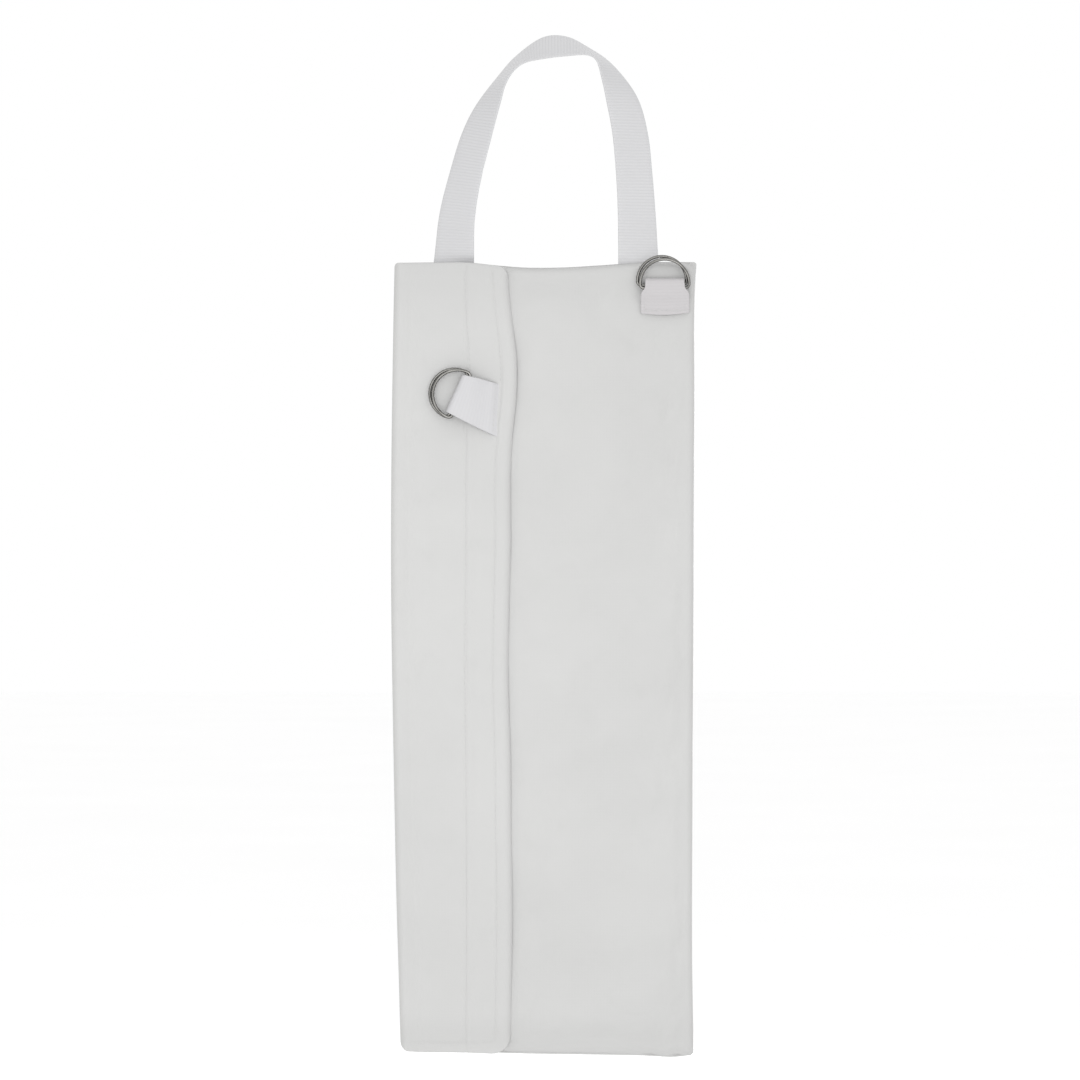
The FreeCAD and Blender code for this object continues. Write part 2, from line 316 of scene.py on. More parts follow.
# ---------------------------------------------------------------- materials
class Nodes:
    """Short calls for building a node material."""

    def __init__(self, name, colour, roughness, metallic=0.0):
        self.material = bpy.data.materials.new(name)
        self.material.use_nodes = True
        self.tree = self.material.node_tree
        self.bsdf = self.tree.nodes["Principled BSDF"]
        self.bsdf.inputs["Base Color"].default_value = (*colour, 1)
        self.bsdf.inputs["Roughness"].default_value = roughness
        self.bsdf.inputs["Metallic"].default_value = metallic

    def add(self, kind, **sockets):
        node = self.tree.nodes.new(kind)
        for key, value in sockets.items():
            if isinstance(value, bpy.types.NodeSocket):
                self.tree.links.new(value, node.inputs[key.replace("_", " ")])
            else:
                node.inputs[key.replace("_", " ")].default_value = value
        return node

    def link(self, out, to):
        self.tree.links.new(out, to)

    def coords(self, which="Object"):
        return self.add("ShaderNodeTexCoord").outputs[which]

    def noise(self, vector, scale, detail=3.0, rough=0.5):
        node = self.add("ShaderNodeTexNoise", Vector=vector, Scale=scale, Detail=detail, Roughness=rough)
        return node.outputs["Fac"]

    def math(self, op, a, b=None):
        node = self.tree.nodes.new("ShaderNodeMath")
        node.operation = op
        for i, value in enumerate((a, b)):
            if value is None:
                continue
            if isinstance(value, bpy.types.NodeSocket):
                self.tree.links.new(value, node.inputs[i])
            else:
                node.inputs[i].default_value = value
        return node.outputs[0]

    def remap(self, value, low, high, to_low, to_high):
        node = self.tree.nodes.new("ShaderNodeMapRange")
        self.tree.links.new(value, node.inputs[0])
        for i, v in enumerate((low, high, to_low, to_high)):
            node.inputs[i + 1].default_value = v
        return node.outputs[0]

    def mix(self, factor, a, b):
        node = self.tree.nodes.new("ShaderNodeMix")
        node.data_type = "RGBA"
        self.tree.links.new(factor, node.inputs[0])
        for slot, value in ((6, a), (7, b)):
            if isinstance(value, bpy.types.NodeSocket):
                self.tree.links.new(value, node.inputs[slot])
            else:
                node.inputs[slot].default_value = (*value, 1)
        return node.outputs[2]

    def bump(self, height, strength, distance, normal=None):
        node = self.tree.nodes.new("ShaderNodeBump")
        node.inputs["Strength"].default_value = strength
        node.inputs["Distance"].default_value = distance
        self.tree.links.new(height, node.inputs["Height"])
        if normal is not None:
            self.tree.links.new(normal, node.inputs["Normal"])
        return node.outputs["Normal"]

    def finish(self, colour=None, roughness=None, normal=None):
        if colour is not None:
            self.link(colour, self.bsdf.inputs["Base Color"])
        if roughness is not None:
            self.link(roughness, self.bsdf.inputs["Roughness"])
        if normal is not None:
            self.link(normal, self.bsdf.inputs["Normal"])
        return self.material


def wave(nodes, vector, axis, pitch):
    """Bands of that pitch in metres along an axis of the vector, from 0 to 1."""
    split = nodes.add("ShaderNodeSeparateXYZ", Vector=vector)
    turn = nodes.math("MULTIPLY", split.outputs[axis], 2 * math.pi / pitch)
    return nodes.remap(nodes.math("SINE", turn), -1, 1, 0, 1)


def scaled(colour, share):
    return tuple(min(1, c * share) for c in colour)


def coated_cloth(name, colour):
    """PVC-coated cloth: the weave shows faintly through a satin coat, with painted shade near both seams."""
    n = Nodes(name, colour, 0.5)
    place = n.coords()
    weave = n.math("MULTIPLY", wave(n, place, "X", 0.9 * MM), wave(n, place, "Z", 0.9 * MM))
    grain = n.noise(place, 1400.0, 2.0)
    broad = n.noise(place, 9.0, 4.0, 0.6)
    scuff = n.noise(place, 60.0, 5.0, 0.7)
    shade = n.mix(n.remap(broad, 0.35, 0.65, 0, 1), scaled(colour, 0.978), scaled(colour, 1.012))
    shade = n.mix(n.remap(scuff, 0.58, 0.8, 0, 0.35), shade, scaled(colour, 0.93))
    # painted shade: the cloth is coloured a little darker in a band above the bottom hem and towards the top
    # seam
    height = n.add("ShaderNodeSeparateXYZ", Vector=place).outputs["Z"]
    shade_above_hem = n.remap(height, BOTTOM + 3 * MM, BOTTOM + 8 * MM, 0, 1)
    shade_near_bottom = n.remap(height, BOTTOM + 14 * MM, BOTTOM + 26 * MM, 1, 0)
    shade = n.mix(n.math("MULTIPLY", shade_above_hem, shade_near_bottom), shade, scaled(colour, 0.965))
    shade = n.mix(n.remap(height, TOP - 42 * MM, TOP - 16 * MM, 0, 1), shade, scaled(colour, 0.972))
    normal = n.bump(n.noise(place, 26.0, 3.0), 0.25, 1.2 * MM)
    normal = n.bump(weave, 0.35, 0.06 * MM, normal)
    normal = n.bump(grain, 0.2, 0.05 * MM, normal)
    n.bsdf.inputs["Sheen Weight"].default_value = 0.05
    n.bsdf.inputs["Specular IOR Level"].default_value = 0.35
    return n.finish(shade, n.remap(scuff, 0.3, 0.7, 0.46, 0.6), normal)


def ribbed_webbing(name, colour, relief):
    """Woven webbing with ribs across it and fine ends along it."""
    n = Nodes(name, colour, 0.72)
    place = n.coords("UV")
    ribs = wave(n, place, "X", 1.9 * MM)
    ends = wave(n, place, "Y", 0.045)
    fine = n.noise(n.coords(), 900.0, 3.0, 0.7)
    broad = n.noise(n.coords(), 30.0, 3.0)
    height = n.math("ADD", ribs, n.math("MULTIPLY", n.math("MULTIPLY", ends, ribs), 0.6))
    height = n.math("ADD", height, n.math("MULTIPLY", fine, 0.5))
    # painted shade: the troughs between the ribs are coloured darker, more so where the relief is deeper
    shade = n.mix(n.remap(ribs, 0.0, 0.5, 0, 1), scaled(colour, 1 - 0.2 * relief), colour)
    shade = n.mix(n.remap(broad, 0.4, 0.7, 0, 0.5), shade, scaled(colour, 0.95))
    n.bsdf.inputs["Sheen Weight"].default_value = 0.25
    n.bsdf.inputs["Sheen Roughness"].default_value = 0.4
    n.bsdf.inputs["Specular IOR Level"].default_value = 0.3
    return n.finish(shade, None, n.bump(height, relief, 0.12 * MM))


def nickel_wire(name):
    """Plated steel wire with fine wear and a painted reflection: lighter where it faces the viewer, darker
    towards its edges.
    """
    n = Nodes(name, (0.22, 0.215, 0.2), 0.26, 1.0)
    place = n.coords()
    wear = n.noise(place, 500.0, 4.0, 0.7)
    spots = n.noise(place, 120.0, 3.0)
    # painted reflection: the colour darkens towards the wire's edges as seen by the viewer
    facing = n.add("ShaderNodeLayerWeight", Blend=0.42).outputs["Facing"]
    shade = n.mix(n.remap(spots, 0.35, 0.7, 0, 1), (0.25, 0.245, 0.233), (0.15, 0.147, 0.14))
    shade = n.mix(n.remap(facing, 0.05, 0.75, 0, 1), shade, (0.05, 0.049, 0.045))
    return n.finish(shade, n.remap(wear, 0.3, 0.7, 0.18, 0.36), n.bump(wear, 0.15, 0.03 * MM))


def thread_material(name, colour):
    """Spun thread with a fine twist."""
    n = Nodes(name, colour, 0.65)
    place = n.coords()
    twist = n.noise(place, 2600.0, 2.0)
    shade = n.mix(n.remap(twist, 0.3, 0.7, 0, 1), scaled(colour, 0.85), colour)
    n.bsdf.inputs["Sheen Weight"].default_value = 0.2
    return n.finish(shade, None, n.bump(twist, 0.6, 0.06 * MM))


def pile_tape(name, colour, scale, depth):
    """Hook or loop tape: a fuzzy field of fine points."""
    n = Nodes(name, colour, 0.85)
    place = n.coords()
    cells = n.add("ShaderNodeTexVoronoi", Vector=place, Scale=scale)
    fuzz = n.noise(place, scale * 1.7, 4.0, 0.8)
    height = n.math("SUBTRACT", fuzz, n.math("MULTIPLY", cells.outputs["Distance"], 0.8))
    # painted shade: the hollows of the pile are coloured darker
    shade = n.mix(n.remap(height, -0.3, 0.5, 0, 1), scaled(colour, 0.6), colour)
    n.bsdf.inputs["Sheen Weight"].default_value = 0.4
    return n.finish(shade, None, n.bump(height, 0.9, depth))


def glass_cloth(name):
    """Plain woven glass cloth, off white with a slight lustre."""
    colour = (0.74, 0.72, 0.66)
    n = Nodes(name, colour, 0.6)
    place = n.coords("UV")
    over = wave(n, place, "X", 1.6 * MM)
    under = wave(n, place, "Y", 1.6 * MM)
    weave = n.math("ABSOLUTE", n.math("SUBTRACT", over, under))
    broad = n.noise(n.coords(), 40.0, 4.0)
    # painted shade: the hollows of the weave are coloured darker
    shade = n.mix(weave, scaled(colour, 0.88), colour)
    shade = n.mix(n.remap(broad, 0.4, 0.7, 0, 0.6), shade, (0.68, 0.65, 0.58))
    n.bsdf.inputs["Sheen Weight"].default_value = 0.2
    return n.finish(shade, None, n.bump(weave, 0.5, 0.15 * MM))


CLOTH_COLOUR = (0.463, 0.463, 0.458)
WEB_COLOUR = (0.521, 0.521, 0.53)
# the corner strap's webbing is coloured darker than the same webbing on the handle and the pull strap, a
# painted shade
CORNER_SHADED_COLOUR = (0.45, 0.438, 0.444)
PULL_COLOUR = (0.486, 0.484, 0.494)
pouch_cloth = coated_cloth("pouch_cloth", CLOTH_COLOUR)
handle_web = ribbed_webbing("handle_webbing", WEB_COLOUR, 0.38)
corner_web = ribbed_webbing("corner_webbing", CORNER_SHADED_COLOUR, 0.16)
pull_web = ribbed_webbing("pull_webbing", PULL_COLOUR, 0.13)
nickel = nickel_wire("nickel_wire")
thread = thread_material("thread", (0.49, 0.49, 0.485))
loop_pile = pile_tape("loop_pile", (0.6, 0.6, 0.585), 1500.0, 0.3 * MM)
hook_pile = pile_tape("hook_pile", (0.55, 0.55, 0.54), 1100.0, 0.4 * MM)
glass = glass_cloth("glass_cloth")


def dress(obj, material, body=None):
    """Give a piece its one material and, unless it bends, the body that it rides on."""
    obj.data.materials.clear()
    obj.data.materials.append(material)
    if body is not None:
        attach(obj, body)
    return obj


# ---------------------------------------------------------------- pouch
def spaced(*spans):
    """Positions from a list of (start, end, step) spans, without repeats."""
    out = []
    for start, end, step in spans:
        count = max(1, round(abs(end - start) / step))
        out += [start + (end - start) * k / count for k in range(count)]
    out.append(spans[-1][1])
    return np.array(out)


def rise(step=6.0):
    """Heights above the bottom edge as shares of the whole, closer together at both seams."""
    near = [0, 0.5, 0.7, 1.0, 1.4, 1.9, 2.5, 3.2, 4.1, 5.2, 6.6, 8.4, 10.6, 13.4, 17.0, 21.5]
    total = HEIGHT / MM
    middle = np.linspace(27, total - 27, int((total - 54) / step))
    return np.concatenate([near, middle, total - np.array(near[::-1])]) / total


SEAM_FORWARD = 5 * MM


def seam_forward(x):
    """How far forward of the pouch's middle its top and bottom seams lie."""
    return SEAM_FORWARD * ease((x - LEFT) / (34 * MM))


def fullness(t, flange, reach, power=1.0):
    """Depth of the pouch at t mm from a seam, as a share of its full depth."""
    s = np.clip((t - flange) / reach, 0, 1)
    return 0.045 + 0.955 * (1 - (1 - s) ** 2.3) ** power


def pouch_depth(y, x, z):
    """Where the cloth at depth y of the full pouch lies at that height, and how full the pouch is there."""
    low, high = bottom_at(x), top_at(x)
    # the front rolls over close to the top seam, and the back and the right side slope to it more slowly
    rear = ease((y - FRONT) / (BACK - FRONT))
    reach = 8.0 + 18.0 * rear
    roll = (1 - rear) * ease((RIGHT - x) / (9 * MM))
    full = fullness((high - z) / MM, 2.4 - 1.9 * roll, reach - 4.0 * roll, 1 - 0.5 * roll)
    full = full * fullness((z - low) / MM, 1.0, reach)
    middle = -seam_forward(x) * (2 - ease((z - low) / (40 * MM)) - ease((high - z) / (40 * MM)))
    return middle + (y - middle) * full, full


SETTLE_FRAMES = 20


def settled(obj, held, slack, out, inward):
    """Let a cloth that is a little too large settle for a few frames under light pressure and its own weight.

    It stays where `held` is 1, and elsewhere it moves by at most `out` outwards and `inward` inwards.
    """
    start = np.array([v.co for v in obj.data.vertices])
    group = obj.vertex_groups.new(name="held")
    for i, share in enumerate(held):
        group.add([i], float(share), "REPLACE")
    modifier = obj.modifiers.new("settle", "CLOTH")
    cloth = modifier.settings
    cloth.quality = 6
    cloth.mass = 0.02
    cloth.tension_stiffness = 25
    cloth.compression_stiffness = 25
    cloth.shear_stiffness = 10
    cloth.bending_stiffness = 0.4
    cloth.vertex_group_mass = "held"
    cloth.shrink_min = -slack
    cloth.use_pressure = True
    cloth.uniform_pressure_force = 0.3
    modifier.collision_settings.use_collision = False
    scene = bpy.context.scene
    for frame_number in range(1, SETTLE_FRAMES + 1):
        scene.frame_set(frame_number)
    deps = bpy.context.evaluated_depsgraph_get()
    shape = obj.evaluated_get(deps).to_mesh()
    moved = np.array([v.co for v in shape.vertices]) - start
    obj.evaluated_get(deps).to_mesh_clear()
    obj.modifiers.clear()
    obj.vertex_groups.clear()
    scene.frame_set(1)
    free = 1 - held
    side = np.sign(start[:, 1])
    away = moved[:, 1] * side
    away = np.where(away > 0, out * np.tanh(away / out), inward * np.tanh(away / inward))
    start[:, 1] += away * side * free
    obj.data.vertices.foreach_set("co", start.ravel())
    obj.data.update()


# puckers of the cloth in mm: place across the pouch, height and width
BOTTOM_PUCKERS = ((57, 0.9, 4.0), (66, -0.8, 3.5), (74, 1.1, 4.5), (82, -0.9, 3.0), (88, 0.8, 3.0))
TOP_PUCKERS = ((-40, 0.5, 6), (-24, -0.5, 8), (44, 0.6, 6), (30, -0.5, 8), (72, 0.4, 6))


def shell_columns():
    """Places (x, y) round the full pouch, from the mouth along the front, the right side and the back."""
    half = (BACK - FRONT) / 2
    turn = 4.5 * MM
    right = RIGHT / MM
    xs, ys = [], []
    for x in spaced(
        (MOUTH / MM, -31, 5), (-31, -14, 1.2), (-14, right - 26, 5), (right - 26, right - 4.5, 2.5)
    ):
        xs.append(x * MM)
        ys.append(-half)
    for k in range(1, 8):
        angle = math.pi / 2 * k / 7
        xs.append(RIGHT - turn + turn * math.sin(angle))
        ys.append(-half + turn - turn * math.cos(angle))
    for y in (-4.0, -1.4, 1.4, 4.0):
        xs.append(RIGHT)
        ys.append(y * MM)
    for k in range(0, 8):
        angle = math.pi / 2 * k / 7
        xs.append(RIGHT - turn + turn * math.cos(angle))
        ys.append(half - turn + turn * math.sin(angle))
    for x in spaced((right - 12, LEFT / MM + 8, 6)):
        xs.append(x * MM)
        ys.append(half)
    return np.array(xs)[:, None], np.array(ys)[:, None]


def pouch_body():
    """The pouch's soft shell: front, right side and back in one, drawn together at the top and bottom."""
    xs, ys = shell_columns()
    v = rise()[None, :]
    share = (xs - LEFT) / (RIGHT - LEFT)
    low, high = bottom_at(xs), top_at(xs)
    z = low + (high - low) * v
    x = xs + left_shift(z) * (1 - share) + right_shift(z) * share
    crown = np.sin(math.pi * np.clip(share, 0, 1)) ** 0.6 * np.sin(math.pi * v) ** 0.35
    # the cloth is held flat by the tape under the flap, and by the spine at the back
    loose = np.where(ys < 0, ease((x - FLAP_EDGE) / (14 * MM)), ease((x - LEFT - 12 * MM) / (20 * MM)))
    y, full = pouch_depth(ys * (1 + 0.05 * crown * loose), xs, z)
    quiet = full * (1 - np.exp(-np.minimum(high - z, z - low) / (10 * MM))) * loose
    sign = np.sign(ys)
    # the flap's free edge presses the front sheet in a little
    y += np.where(sign < 0, 0.45 * MM * hump(x - FLAP_EDGE - edge_shift(z), 0.9 * MM, 2.4 * MM) * full, 0)
    y += sign * quiet * 0.45 * MM * ripple(x, z, 7, 0.16, 0.035)
    # puckers that run up from the bottom seam at the right, and down from the handle's legs
    up = np.clip((z - low) / (26 * MM), 0, 1)
    pucker = np.exp(-up * 3.2) * ease(np.clip((z - low) / (1.5 * MM), 0, 1))
    for middle, size, width in BOTTOM_PUCKERS:
        y += sign * pucker * size * MM * hump(x / MM - up * 5, middle, width)
    down = np.clip((high - z) / (30 * MM), 0, 1)
    pull = np.exp(-down * 3.0) * ease(np.clip((high - z) / (2 * MM), 0, 1))
    for middle, size, width in TOP_PUCKERS:
        y += sign * pull * size * MM * hump(x / MM, middle, width)
    points = np.stack(np.broadcast_arrays(x, y, z), -1)
    obj = grid("pouch_shell", points)
    # the settling leaves the seams, the corner tab's place, the right side and what the flap holds in place
    from_seam = np.minimum(high - z, z - low)
    at_seam = 1 - ease((from_seam - 5 * MM) / (12 * MM))
    at_tab = np.where(ys < 0, ease((x - 50 * MM) / (8 * MM)) * ease((z - TOP + 46 * MM) / (12 * MM)), 0)
    at_turn = ease((x - RIGHT + 10 * MM) / (6 * MM))
    held = np.maximum(np.maximum(at_seam, at_tab), np.maximum(at_turn, 1 - loose))
    settled(obj, held.ravel(), slack=0.012, out=1.2 * MM, inward=0.5 * MM)
    thicken(obj, CLOTH * 0.9)
    dress(obj, pouch_cloth, "pouch")
    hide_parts("front_panel", "back_panel", "right_wall", "top_wall", "bottom_wall")
    return obj


# ---------------------------------------------------------------- flap
ROW_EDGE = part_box("flap_edge_stitching")[1].x - 0.3 * MM
ROW_TAPE = (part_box("tape_stitching")[0].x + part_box("tape_stitching")[1].x) / 2
ROW_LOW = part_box("flap_edge_stitching")[0].z + 0.3 * MM
ROW_TURN = 5.0 * MM
FLAP_CORNER = 12.5 * MM
FLAP_TOP_CORNER = 7 * MM


def flap_top(x):
    return top_at(x) - 0.3 * MM


def flap_bottom(x):
    return bottom_at(x) + 0.4 * MM


def leaf_face(x, z):
    """The y of the flap's outer face at a place on the front."""
    edge = FLAP_EDGE + edge_shift(z)
    side = LEFT + left_shift(z)
    y = np.full(np.broadcast(x, z).shape, FLAP_FACE)
    y += 0.35 * MM * ripple(x, z, 21, 0.14, 0.03) * ease((x - side) / (14 * MM))
    # the mouth's hem under the flap, a pressed crease beside the fold, and the two rows of stitches
    y -= 0.45 * MM * hump(x, MOUTH + left_shift(z), 2.2 * MM)
    y += 0.5 * MM * hump(x, side + 4.6 * MM, 1.0 * MM)
    y += 0.30 * MM * hump(x, ROW_TAPE, 0.8 * MM)
    y -= 0.22 * MM * hump(x, ROW_TAPE + 3.2 * MM, 1.8 * MM)
    row = edge_row_distance(x, z)
    y += 0.34 * MM * hump(row, 0, 0.75 * MM)
    # the free edge is a turned hem, a little proud, and it lifts at the pull tab
    y -= 0.25 * MM * hump(x, edge - 3.5 * MM, 3.0 * MM)
    lift = hump((z - TOP) / MM, -78, 24)
    y -= 0.9 * MM * lift * ease((x - (edge - 16 * MM)) / (16 * MM))
    y -= 0.9 * MM * hump((z - TOP) / MM, -92, 26) * hump(x, edge - 8 * MM, 2.6 * MM)
    over = np.clip((x - (edge - 5.5 * MM)) / (5.5 * MM), 0, 0.99)
    y += 1.55 * MM * over**2 + 0.85 * MM * over**5 + 0.4 * MM * (1 - np.sqrt(1 - over**6))
    rim = np.clip(1 - (flap_top(x) - z) / (1.6 * MM), 0, 0.99)
    y += 0.9 * MM * (1 - np.sqrt(1 - rim**2)) + 0.15 * MM * hump(flap_top(x) - z, 5 * MM, 0.8 * MM)
    low = np.clip((z - flap_bottom(x)) / (9 * MM), 0, 1)
    high = np.clip((flap_top(x) - z) / (9 * MM), 0, 1)
    y += 1.1 * MM * ((1 - low) ** 2 + 0.6 * (1 - high) ** 2)
    return y


def edge_row_distance(x, z):
    """How far a place on the flap is from the row of stitches along its free edge and bottom."""
    shift = edge_shift(z)
    cx, cz = ROW_EDGE - ROW_TURN, ROW_LOW + ROW_TURN
    dx, dz = x - shift - cx, z - cz
    upright = np.where(dz >= 0, x - shift - ROW_EDGE, 1.0)
    level = np.where(dx <= 0, z - ROW_LOW, 1.0)
    bend = np.where((dx > 0) & (dz < 0), np.hypot(dx, dz) - ROW_TURN, 1.0)
    distance = np.where(np.abs(upright) < np.abs(level), upright, level)
    return np.where(np.abs(bend) < np.abs(distance), bend, distance)


def flap_leaf():
    """The flap's front leaf, with the front half of its spine and the fold between them."""
    turn = 4.0 * MM
    xs, ys = [], []
    for y in spaced((0.6, -1.0, 0.8), (-1.0, FLAP_FACE / MM + 4.0, 3.0)):
        xs.append(-0.05 * MM)
        ys.append(y * MM)
    for k in range(1, 9):
        angle = math.pi / 2 * k / 8
        xs.append(turn * (1 - math.cos(angle)))
        ys.append(FLAP_FACE + turn * (1 - math.sin(angle)))
    fold = len(xs)
    span = (FLAP_EDGE - LEFT) / MM
    tape = (ROW_TAPE - LEFT) / MM
    row = (ROW_EDGE - LEFT) / MM
    front = spaced(
        (4.8, 8.0, 1.0), (8.0, 15.0, 1.2), (15.0, tape - 5, 4.0), (tape - 5, tape - 2, 1.0),
        (tape - 2, tape + 2, 0.5), (tape + 2, tape + 6, 1.0), (tape + 6, row - 4, 2.0),
        (row - 4, row - 2, 1.0), (row - 2, row + 2, 0.5),
    )[:-1]
    xs += [x * MM for x in front]
    ys += [FLAP_FACE] * len(front)
    first = math.asin(1 - ((span - row - 2) * MM) / FLAP_CORNER)
    for k in range(21):
        angle = first + (math.pi / 2 - first) * k / 20
        xs.append(span * MM - FLAP_CORNER + FLAP_CORNER * math.sin(angle))
        ys.append(FLAP_FACE)
    xs, ys = np.array(xs)[:, None], np.array(ys)[:, None]
    near = np.array([0, 0.35, 0.8, 1.4, 2.2, 3.2, 4.4, 6.0, 7.0, 7.6, 8.2, 9.0, 10.2, 12.0, 14.5, 18, 22.5])
    total = HEIGHT / MM
    v = np.concatenate([near, np.linspace(27, total - 27, 84), total - near[::-1]])[None, :] / total
    flat_x = LEFT + xs
    low = flap_bottom(flat_x) + corner_cut(flat_x, FLAP_EDGE, FLAP_CORNER)
    high = flap_top(flat_x) - corner_cut(flat_x, FLAP_EDGE, FLAP_TOP_CORNER)
    z = low + (high - low) * v
    share = np.clip(xs / (span * MM), 0, 1)
    x = flat_x + left_shift(z) * (1 - share) + edge_shift(z) * share
    relief = (leaf_face(x, z) - FLAP_FACE) * ease((xs - turn) / (3 * MM))
    y = np.where(np.arange(len(xs))[:, None] < fold, ys, ys + relief)
    points = np.stack(np.broadcast_arrays(x, y, z), -1)
    obj = grid("flap_leaf", points)
    thicken(obj, CLOTH)
    dress(obj, pouch_cloth)
    return obj


def spine_cloth():
    """The back half of the flap's spine, which turns onto the back sheet and laps it."""
    turn = 5.0 * MM
    xs, ys = [], []
    for y in spaced((-1.0, BACK / MM - 5.4, 3.0)):
        xs.append(0.0)
        ys.append(y * MM)
    for k in range(1, 9):
        angle = math.pi / 2 * k / 8
        xs.append(turn * (1 - math.cos(angle)))
        ys.append(BACK - 5.4 * MM + turn * math.sin(angle))
    ys = [y + 0.4 * MM for y in ys]
    xs += [8 * MM, 10 * MM]
    ys += [BACK + 0.06 * MM] * 2
    xs, ys = np.array(xs)[:, None], np.array(ys)[:, None]
    v = rise()[None, :]
    flat_x = LEFT + xs
    round_corner = np.clip(ys - 4 * MM, 0, None) + xs
    low = bottom_line(flat_x) + LOW_LEFT_CORNER * (1 - ease(round_corner / (14 * MM)))
    high = top_at(flat_x)
    z = low + (high - low) * v
    x = flat_x + left_shift(z) * (1 - xs / (RIGHT - LEFT))
    joined_y, _ = pouch_depth(ys, flat_x, z)
    hold = np.sqrt(np.clip(xs / (5.2 * MM), 0, 1))
    points = np.stack(np.broadcast_arrays(x, ys * (1 - hold) + joined_y * hold, z), -1)
    obj = grid("flap_side", points[::-1])
    thicken(obj, CLOTH)
    dress(obj, pouch_cloth)
    return obj


pouch_body()
leaf = flap_leaf()
side = spine_cloth()
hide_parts("flap_panel")
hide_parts("flap_spine")
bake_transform(leaf)
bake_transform(side)


# ---------------------------------------------------------------- handle
# edges of the band in mm from the left leg to the right: inner x and height above the top edge, then outer
HANDLE_EDGES = [
    (-43.0, 0, -68.0, 0), (-42.5, 27, -64.8, 30), (-38.5, 52, -58.5, 56), (-32, 78, -50, 83),
    (-27, 97, -41.2, 100), (-22.4, 112, -28.7, 116.4), (-14.2, 121.5, -17.2, 129.4), (0, 125.5, 0, 141.2),
    (15, 127.2, 15, 141.4), (27.2, 127.6, 28.9, 134.3), (32.5, 124.5, 39.4, 127.3), (35.8, 114, 50.5, 115.5),
    (38.8, 100, 59.2, 101.5), (42.5, 80, 64.9, 80.5), (44.8, 55, 67.6, 56), (46, 28, 69.8, 28),
    (46.2, 0, 71.2, 0),
]
WEB_WIDTH = 25.0
# thickness of the webbing: 1.3 mm, and more only if the handle's ends stood above the top wall
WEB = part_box("handle_ends")[1].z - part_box("top_wall")[1].z + 1.3 * MM
TAILS = (9, 6, 3)


def curve_through(points, count):
    """Points on a smooth line through the given ones, which come closer together where the given ones do."""
    points = np.asarray(points, float)
    run = np.concatenate([[0], np.cumsum(np.sqrt(np.linalg.norm(np.diff(points, axis=0), axis=1)))])
    at = np.linspace(0, run[-1], count)
    return np.stack([smooth(list(zip(run, points[:, c])), at) for c in range(points.shape[1])], -1)


def with_tails(edge):
    """An edge of the handle, run on straight down into the top seam at both ends."""
    down = [np.array([0, 0, t * MM]) for t in TAILS]
    return np.concatenate([[edge[0] - t for t in down], edge, [edge[-1] - t for t in down[::-1]]])


def handle():
    """The loop: where its band looks narrow, one edge is turned away by what is missing from its width."""
    edges = curve_through(HANDLE_EDGES, 150)
    inner, outer = edges[:, :2], edges[:, 2:]
    seen = np.linalg.norm(outer - inner, axis=1)
    scale = np.minimum(1, WEB_WIDTH / seen)
    middle = (inner + outer) / 2
    inner = middle + (inner - middle) * scale[:, None]
    outer = middle + (outer - middle) * scale[:, None]
    deep = np.sqrt(np.maximum(0, WEB_WIDTH**2 - (seen * scale) ** 2)) / 2
    into_seam = (SEAM_FORWARD - 0.8 * MM) * (1 - ease(middle[:, 1] / 18))
    a = np.stack([inner[:, 0] * MM, -deep * MM - into_seam, TOP + inner[:, 1] * MM], -1)
    b = np.stack([outer[:, 0] * MM, deep * MM - into_seam, TOP + outer[:, 1] * MM], -1)
    obj = band("handle_band", with_tails(a), with_tails(b), WEB)
    dress(obj, handle_web)
    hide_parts("handle_webbing", "handle_ends")
    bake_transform(obj)
    return obj


handle()


# ---------------------------------------------------------------- tabs
def tab_path(length, channel, high, web):
    """The middle line of a strap folded round ring bars, as (distance from the fold, height) points."""
    r = 2.6 * MM
    top = high - web / 2
    low = web / 2
    line = [(length, low), (length * 0.6, low), (channel, low), (r + web / 2, low)]
    for k in range(1, 8):
        angle = math.pi * k / 8
        line.append((r + web / 2 - r * math.sin(angle), (low + top) / 2 - (top - low) / 2 * math.cos(angle)))
    line += [(r + web / 2, top)]
    for k in range(7):
        line.append((channel + (length * 0.82 - channel) * k / 6, top + (1.5 * web - top) * ease(k / 6)))
    line += [(length, 1.5 * web)]
    return curve_through(line, 80)


# how a necked strap widens from its fold to its root: share of the length, share of the flare
NECK = [(0, 0), (0.19, 0.06), (0.3, 0.2), (0.37, 0.6), (0.45, 0.88), (0.6, 0.97), (1, 1)]


